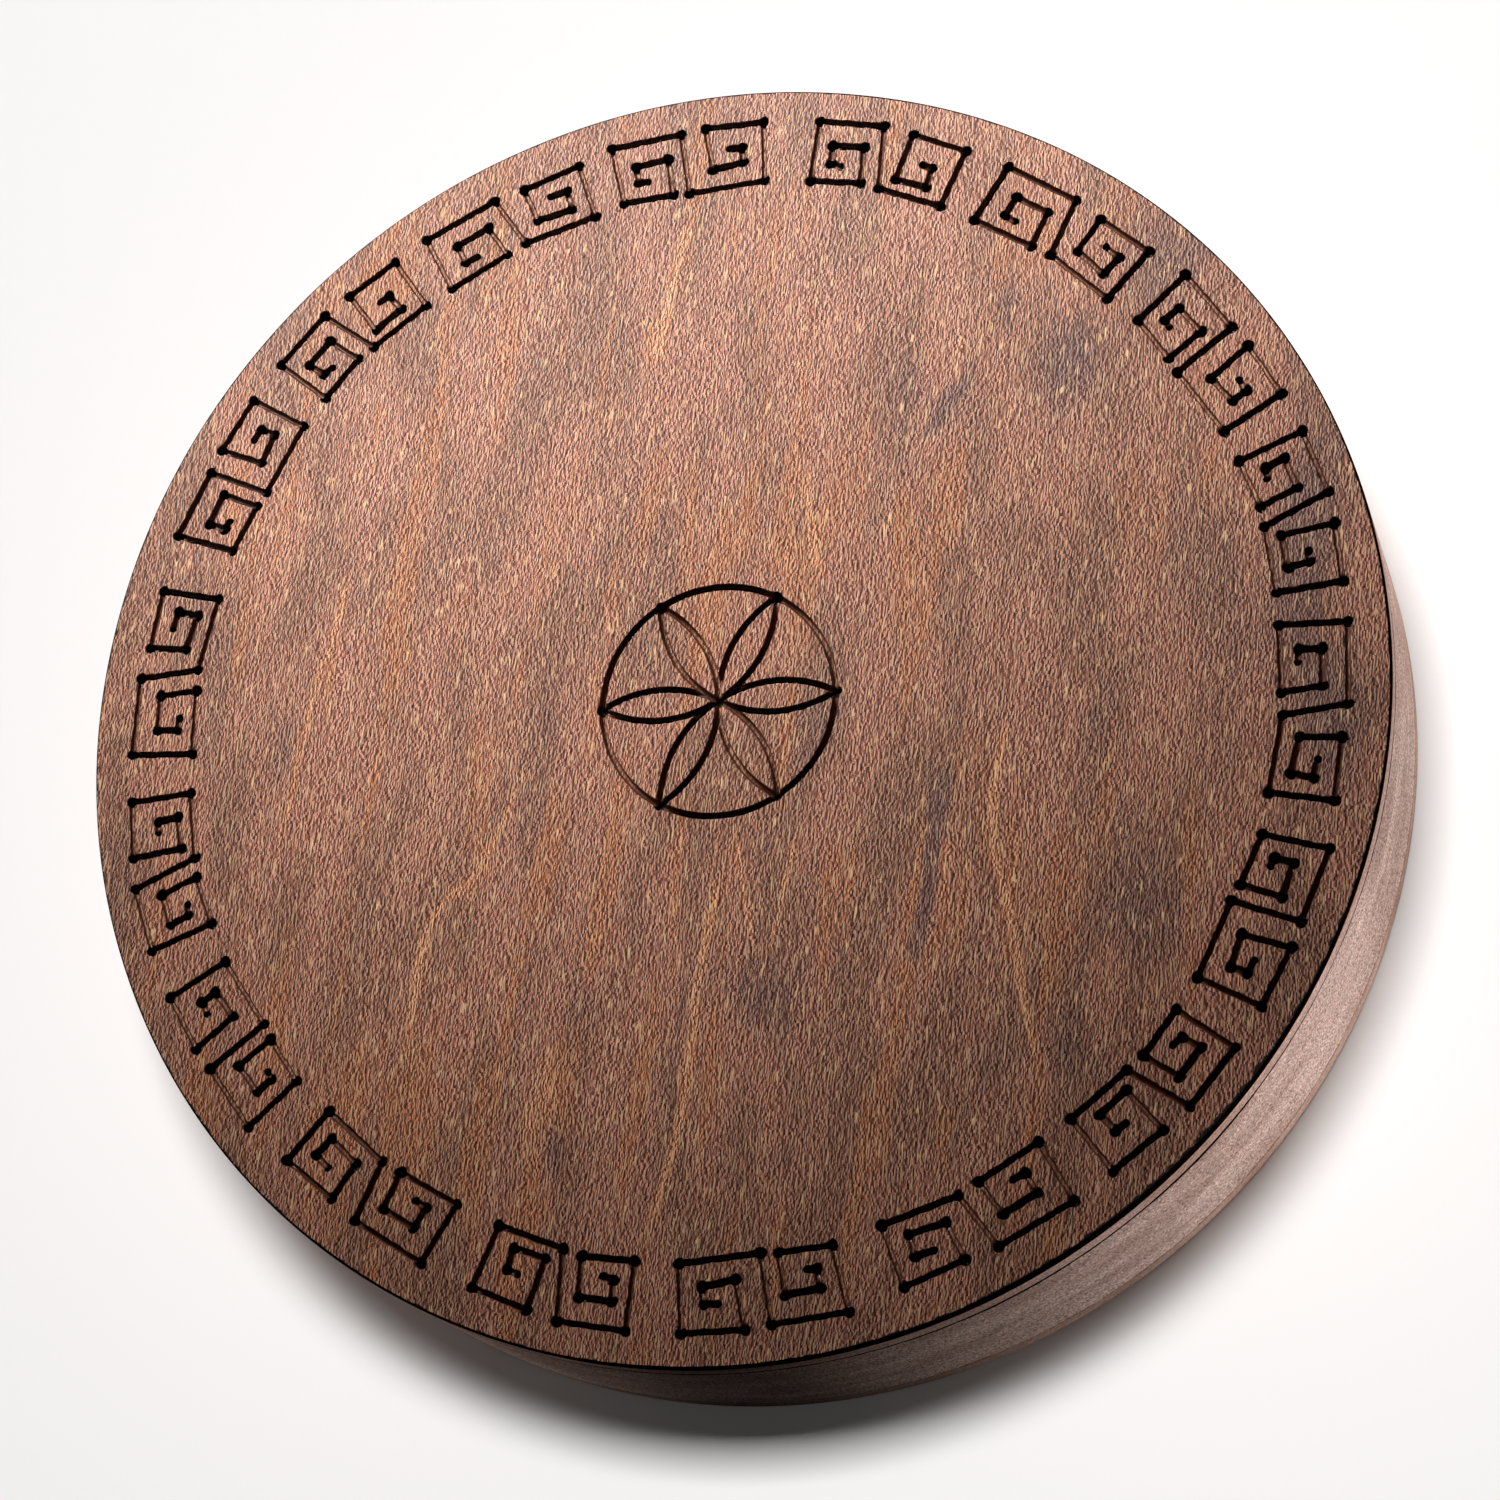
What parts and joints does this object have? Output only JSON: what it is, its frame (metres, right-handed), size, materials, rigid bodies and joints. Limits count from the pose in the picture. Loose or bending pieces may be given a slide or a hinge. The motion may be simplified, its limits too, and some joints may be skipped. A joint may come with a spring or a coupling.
{
  "type": "ocean drum",
  "caption": "Shallow round wooden drum: a carved plywood head and a plain back glued to a bent hoop, with loose steel beads that roll inside and hiss like surf.",
  "frame": {"origin": "centre of the back plate's underside, the face that the drum lies on", "axes": "+Z along the drum's axis, out of the carved head; +X to the right and +Y up when the carved head is looked at from the front; the beads travel along Y"},
  "size_m": [0.3, 0.3, 0.054],
  "materials": {
    "stained_face": "brown stain over birch plywood, satin",
    "stained_hoop": "thin brown stain over bent plywood, satin",
    "stained_back": "brown stain over plywood, satin",
    "bead_steel": "polished steel shot"
  },
  "bodies": {
    "shell": {"front_plate": "stained_face", "hoop": "stained_hoop", "back_plate": "stained_back"},
    "bead_01": {"bead_01": "bead_steel"},
    "bead_02": {"bead_02": "bead_steel"},
    "bead_03": {"bead_03": "bead_steel"},
    "bead_04": {"bead_04": "bead_steel"},
    "bead_05": {"bead_05": "bead_steel"},
    "bead_06": {"bead_06": "bead_steel"},
    "bead_07": {"bead_07": "bead_steel"},
    "bead_08": {"bead_08": "bead_steel"},
    "bead_09": {"bead_09": "bead_steel"},
    "bead_10": {"bead_10": "bead_steel"},
    "bead_11": {"bead_11": "bead_steel"},
    "bead_12": {"bead_12": "bead_steel"},
    "bead_13": {"bead_13": "bead_steel"},
    "bead_14": {"bead_14": "bead_steel"},
    "bead_15": {"bead_15": "bead_steel"},
    "bead_16": {"bead_16": "bead_steel"},
    "bead_17": {"bead_17": "bead_steel"},
    "bead_18": {"bead_18": "bead_steel"},
    "bead_19": {"bead_19": "bead_steel"},
    "bead_20": {"bead_20": "bead_steel"},
    "bead_21": {"bead_21": "bead_steel"},
    "bead_22": {"bead_22": "bead_steel"},
    "bead_23": {"bead_23": "bead_steel"},
    "bead_24": {"bead_24": "bead_steel"},
    "bead_25": {"bead_25": "bead_steel"},
    "bead_26": {"bead_26": "bead_steel"},
    "bead_27": {"bead_27": "bead_steel"},
    "bead_28": {"bead_28": "bead_steel"},
    "bead_29": {"bead_29": "bead_steel"},
    "bead_30": {"bead_30": "bead_steel"},
    "bead_31": {"bead_31": "bead_steel"},
    "bead_32": {"bead_32": "bead_steel"},
    "bead_33": {"bead_33": "bead_steel"},
    "bead_34": {"bead_34": "bead_steel"},
    "bead_35": {"bead_35": "bead_steel"},
    "bead_36": {"bead_36": "bead_steel"},
    "bead_37": {"bead_37": "bead_steel"},
    "bead_38": {"bead_38": "bead_steel"},
    "bead_39": {"bead_39": "bead_steel"},
    "bead_40": {"bead_40": "bead_steel"},
    "bead_41": {"bead_41": "bead_steel"},
    "bead_42": {"bead_42": "bead_steel"},
    "bead_43": {"bead_43": "bead_steel"},
    "bead_44": {"bead_44": "bead_steel"},
    "bead_45": {"bead_45": "bead_steel"},
    "bead_46": {"bead_46": "bead_steel"},
    "bead_47": {"bead_47": "bead_steel"},
    "bead_48": {"bead_48": "bead_steel"},
    "bead_49": {"bead_49": "bead_steel"},
    "bead_50": {"bead_50": "bead_steel"}
  },
  "joints": [
    {"name": "bead_01_roll", "type": "slide", "parent": "shell", "child": "bead_01", "axis": [0, 1, 0], "range_m": [-0.0312, 0.0699]},
    {"name": "bead_02_roll", "type": "slide", "parent": "shell", "child": "bead_02", "axis": [0, 1, 0], "range_m": [-0.1159, 0.0091]},
    {"name": "bead_03_roll", "type": "slide", "parent": "shell", "child": "bead_03", "axis": [0, 1, 0], "range_m": [-0.0786, 0.0656]},
    {"name": "bead_04_roll", "type": "slide", "parent": "shell", "child": "bead_04", "axis": [0, 1, 0], "range_m": [-0.0261, 0.1343]},
    {"name": "bead_05_roll", "type": "slide", "parent": "shell", "child": "bead_05", "axis": [0, 1, 0], "range_m": [-0.1363, 0.0382]},
    {"name": "bead_06_roll", "type": "slide", "parent": "shell", "child": "bead_06", "axis": [0, 1, 0], "range_m": [-0.0746, 0.1123]},
    {"name": "bead_07_roll", "type": "slide", "parent": "shell", "child": "bead_07", "axis": [0, 1, 0], "range_m": [-0.0034, 0.1946]},
    {"name": "bead_08_roll", "type": "slide", "parent": "shell", "child": "bead_08", "axis": [0, 1, 0], "range_m": [-0.1321, 0.0758]},
    {"name": "bead_09_roll", "type": "slide", "parent": "shell", "child": "bead_09", "axis": [0, 1, 0], "range_m": [-0.0549, 0.162]},
    {"name": "bead_10_roll", "type": "slide", "parent": "shell", "child": "bead_10", "axis": [0, 1, 0], "range_m": [-0.1961, 0.0289]},
    {"name": "bead_11_roll", "type": "slide", "parent": "shell", "child": "bead_11", "axis": [0, 1, 0], "range_m": [-0.1137, 0.1187]},
    {"name": "bead_12_roll", "type": "slide", "parent": "shell", "child": "bead_12", "axis": [0, 1, 0], "range_m": [-0.0256, 0.2135]},
    {"name": "bead_13_roll", "type": "slide", "parent": "shell", "child": "bead_13", "axis": [0, 1, 0], "range_m": [-0.1779, 0.0673]},
    {"name": "bead_14_roll", "type": "slide", "parent": "shell", "child": "bead_14", "axis": [0, 1, 0], "range_m": [-0.086, 0.1645]},
    {"name": "bead_15_roll", "type": "slide", "parent": "shell", "child": "bead_15", "axis": [0, 1, 0], "range_m": [-0.2457, 0.0098]},
    {"name": "bead_16_roll", "type": "slide", "parent": "shell", "child": "bead_16", "axis": [0, 1, 0], "range_m": [-0.1506, 0.1092]},
    {"name": "bead_17_roll", "type": "slide", "parent": "shell", "child": "bead_17", "axis": [0, 1, 0], "range_m": [-0.0521, 0.2116]},
    {"name": "bead_18_roll", "type": "slide", "parent": "shell", "child": "bead_18", "axis": [0, 1, 0], "range_m": [-0.2179, 0.0492]},
    {"name": "bead_19_roll", "type": "slide", "parent": "shell", "child": "bead_19", "axis": [0, 1, 0], "range_m": [-0.1171, 0.1529]},
    {"name": "bead_20_roll", "type": "slide", "parent": "shell", "child": "bead_20", "axis": [0, 1, 0], "range_m": [-0.014, 0.2584]},
    {"name": "bead_21_roll", "type": "slide", "parent": "shell", "child": "bead_21", "axis": [0, 1, 0], "range_m": [-0.1839, 0.0907]},
    {"name": "bead_22_roll", "type": "slide", "parent": "shell", "child": "bead_22", "axis": [0, 1, 0], "range_m": [-0.0794, 0.1967]},
    {"name": "bead_23_roll", "type": "slide", "parent": "shell", "child": "bead_23", "axis": [0, 1, 0], "range_m": [-0.2513, 0.0261]},
    {"name": "bead_24_roll", "type": "slide", "parent": "shell", "child": "bead_24", "axis": [0, 1, 0], "range_m": [-0.1457, 0.1325]},
    {"name": "bead_25_roll", "type": "slide", "parent": "shell", "child": "bead_25", "axis": [0, 1, 0], "range_m": [-0.0395, 0.2391]},
    {"name": "bead_26_roll", "type": "slide", "parent": "shell", "child": "bead_26", "axis": [0, 1, 0], "range_m": [-0.2117, 0.0669]},
    {"name": "bead_27_roll", "type": "slide", "parent": "shell", "child": "bead_27", "axis": [0, 1, 0], "range_m": [-0.1051, 0.1731]},
    {"name": "bead_28_roll", "type": "slide", "parent": "shell", "child": "bead_28", "axis": [0, 1, 0], "range_m": [-0.2763, 0.0011]},
    {"name": "bead_29_roll", "type": "slide", "parent": "shell", "child": "bead_29", "axis": [0, 1, 0], "range_m": [-0.1696, 0.1066]},
    {"name": "bead_30_roll", "type": "slide", "parent": "shell", "child": "bead_30", "axis": [0, 1, 0], "range_m": [-0.0637, 0.2109]},
    {"name": "bead_31_roll", "type": "slide", "parent": "shell", "child": "bead_31", "axis": [0, 1, 0], "range_m": [-0.2317, 0.0408]},
    {"name": "bead_32_roll", "type": "slide", "parent": "shell", "child": "bead_32", "axis": [0, 1, 0], "range_m": [-0.1264, 0.1436]},
    {"name": "bead_33_roll", "type": "slide", "parent": "shell", "child": "bead_33", "axis": [0, 1, 0], "range_m": [-0.023, 0.2441]},
    {"name": "bead_34_roll", "type": "slide", "parent": "shell", "child": "bead_34", "axis": [0, 1, 0], "range_m": [-0.1857, 0.078]},
    {"name": "bead_35_roll", "type": "slide", "parent": "shell", "child": "bead_35", "axis": [0, 1, 0], "range_m": [-0.0837, 0.1761]},
    {"name": "bead_36_roll", "type": "slide", "parent": "shell", "child": "bead_36", "axis": [0, 1, 0], "range_m": [-0.2402, 0.0152]},
    {"name": "bead_37_roll", "type": "slide", "parent": "shell", "child": "bead_37", "axis": [0, 1, 0], "range_m": [-0.1399, 0.1107]},
    {"name": "bead_38_roll", "type": "slide", "parent": "shell", "child": "bead_38", "axis": [0, 1, 0], "range_m": [-0.0432, 0.202]},
    {"name": "bead_39_roll", "type": "slide", "parent": "shell", "child": "bead_39", "axis": [0, 1, 0], "range_m": [-0.19, 0.0492]},
    {"name": "bead_40_roll", "type": "slide", "parent": "shell", "child": "bead_40", "axis": [0, 1, 0], "range_m": [-0.0958, 0.1366]},
    {"name": "bead_41_roll", "type": "slide", "parent": "shell", "child": "bead_41", "axis": [0, 1, 0], "range_m": [-0.0068, 0.2183]},
    {"name": "bead_42_roll", "type": "slide", "parent": "shell", "child": "bead_42", "axis": [0, 1, 0], "range_m": [-0.1407, 0.0763]},
    {"name": "bead_43_roll", "type": "slide", "parent": "shell", "child": "bead_43", "axis": [0, 1, 0], "range_m": [-0.0554, 0.1526]},
    {"name": "bead_44_roll", "type": "slide", "parent": "shell", "child": "bead_44", "axis": [0, 1, 0], "range_m": [-0.1752, 0.0228]},
    {"name": "bead_45_roll", "type": "slide", "parent": "shell", "child": "bead_45", "axis": [0, 1, 0], "range_m": [-0.0939, 0.093]},
    {"name": "bead_46_roll", "type": "slide", "parent": "shell", "child": "bead_46", "axis": [0, 1, 0], "range_m": [-0.021, 0.1535]},
    {"name": "bead_47_roll", "type": "slide", "parent": "shell", "child": "bead_47", "axis": [0, 1, 0], "range_m": [-0.1185, 0.0419]},
    {"name": "bead_48_roll", "type": "slide", "parent": "shell", "child": "bead_48", "axis": [0, 1, 0], "range_m": [-0.0514, 0.0928]},
    {"name": "bead_49_roll", "type": "slide", "parent": "shell", "child": "bead_49", "axis": [0, 1, 0], "range_m": [-0.1218, 0.0031]},
    {"name": "bead_50_roll", "type": "slide", "parent": "shell", "child": "bead_50", "axis": [0, 1, 0], "range_m": [-0.0599, 0.0412]}
  ]
}
